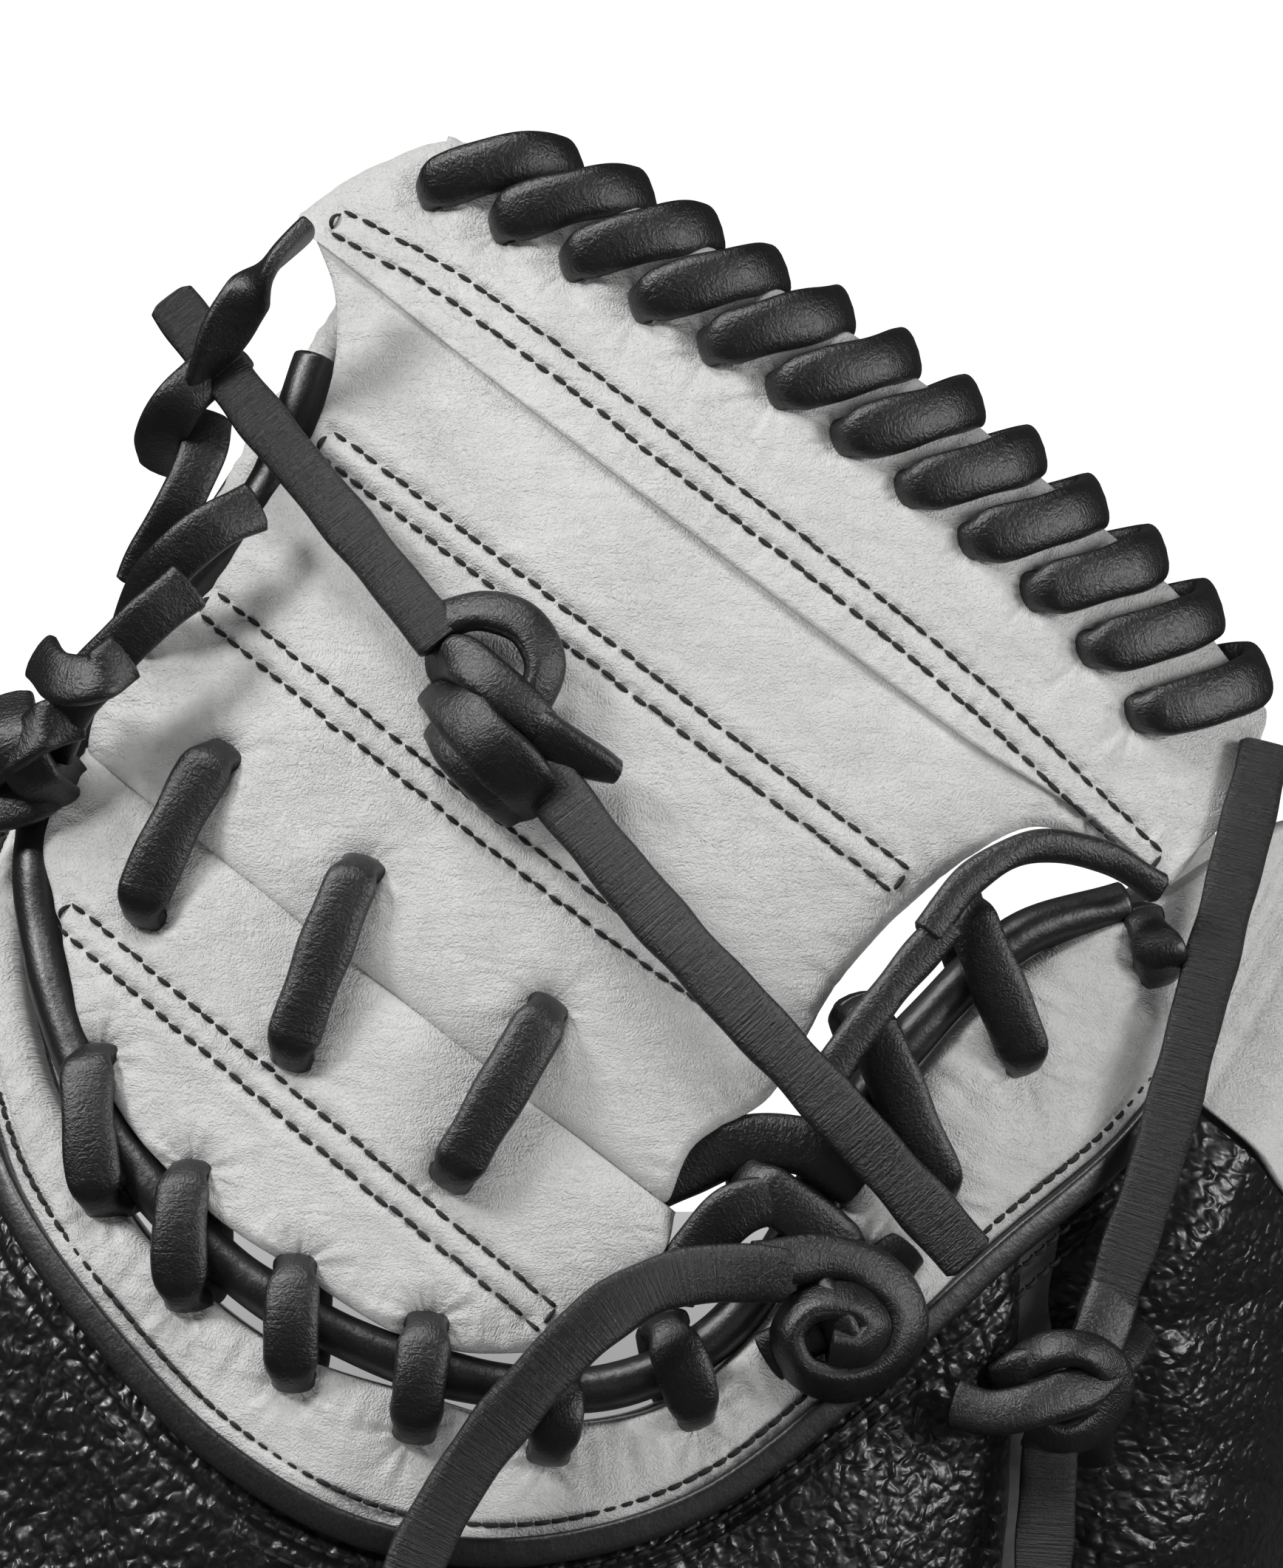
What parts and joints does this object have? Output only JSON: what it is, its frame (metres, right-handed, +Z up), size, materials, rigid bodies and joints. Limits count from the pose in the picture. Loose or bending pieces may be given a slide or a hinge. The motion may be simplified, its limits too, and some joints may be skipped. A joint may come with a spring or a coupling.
{
  "type": "baseball catcher's mitt",
  "caption": "Left-hand padded leather catcher's mitt with a closed half-moon web, laced rim, hand opening and adjustable wrist strap; thumb side folds to close.",
  "frame": {"origin": "on the heel's flat rest face, on the mitt's fold line", "axes": "+X towards the thumb side, +Y towards the palm and pocket, +Z up from the heel to the web's rim"},
  "size_m": [0.2407, 0.1408, 0.3118],
  "materials": {
    "grey_leather": "smooth fine-grained light grey leather, matte",
    "pebbled_leather": "pebbled black leather, satin",
    "lace_leather": "smooth black rawhide lace with raw edges, satin",
    "padding": "wool felt padding",
    "lining": "soft grey lining leather",
    "wool": "black wool pile",
    "binding": "smooth black leather roll and binding",
    "hook_and_loop": "black hook-and-loop pile"
  },
  "bodies": {
    "finger_side": {"palm_shell": "grey_leather", "palm_lining": "lining", "finger_pad": "padding", "heel_pad": "padding", "finger_back_shell": "pebbled_leather", "web_gusset": "grey_leather", "gusset_binding": "binding", "palm_edge_roll": "binding", "finger_stalls": "lining", "little_finger_loop": "lining", "wrist_strap": "pebbled_leather", "wrist_wool_pad": "wool", "strap_loop_patch": "hook_and_loop", "web_upper_back": "grey_leather", "web_upper_core": "padding", "web_upper_front": "grey_leather", "half_moon_back": "grey_leather", "half_moon_core": "padding", "half_moon_front": "grey_leather", "web_rim_band": "grey_leather", "web_perimeter_roll": "binding", "web_rim_lace": "lace_leather", "web_joiner_lace": "lace_leather", "web_perimeter_lace": "lace_leather", "centre_knot": "lace_leather", "crotch_knot": "lace_leather", "finger_side_knot": "lace_leather", "finger_tip_knot": "lace_leather", "centre_tail_upper": "lace_leather", "centre_tail_long": "lace_leather", "crotch_tail": "lace_leather"},
    "thumb_side": {"thumb_pad": "padding", "thumb_back_shell": "pebbled_leather", "thumb_tip_panel": "grey_leather", "thumb_stall": "lining", "thumb_loop": "lining", "thumb_knot": "lace_leather", "thumb_strap": "lace_leather", "thumb_tail": "lace_leather"},
    "strap_tab": {"strap_tab": "pebbled_leather"}
  },
  "joints": [
    {"name": "closing_fold", "type": "hinge", "parent": "finger_side", "child": "thumb_side", "pos_m": [0.03, -0.005, 0], "axis": [0.1504, -0.1504, 0.9771], "range_deg": [-6, 22], "stiffness_Nm_per_rad": 2, "deforming": ["palm_shell", "palm_lining", "web_gusset", "gusset_binding", "palm_edge_roll", "wrist_strap", "wrist_wool_pad", "web_rim_lace", "web_joiner_lace", "web_perimeter_lace", "web_upper_back", "web_upper_core", "web_upper_front", "half_moon_back", "half_moon_core", "half_moon_front", "web_rim_band", "web_perimeter_roll"]},
    {"name": "strap_tab_lift", "type": "hinge", "parent": "finger_side", "child": "strap_tab", "pos_m": [0.00513, -0.0458, 0.03165], "axis": [0.06, -0.27, 0.961], "range_deg": [0, 75]}
  ]
}
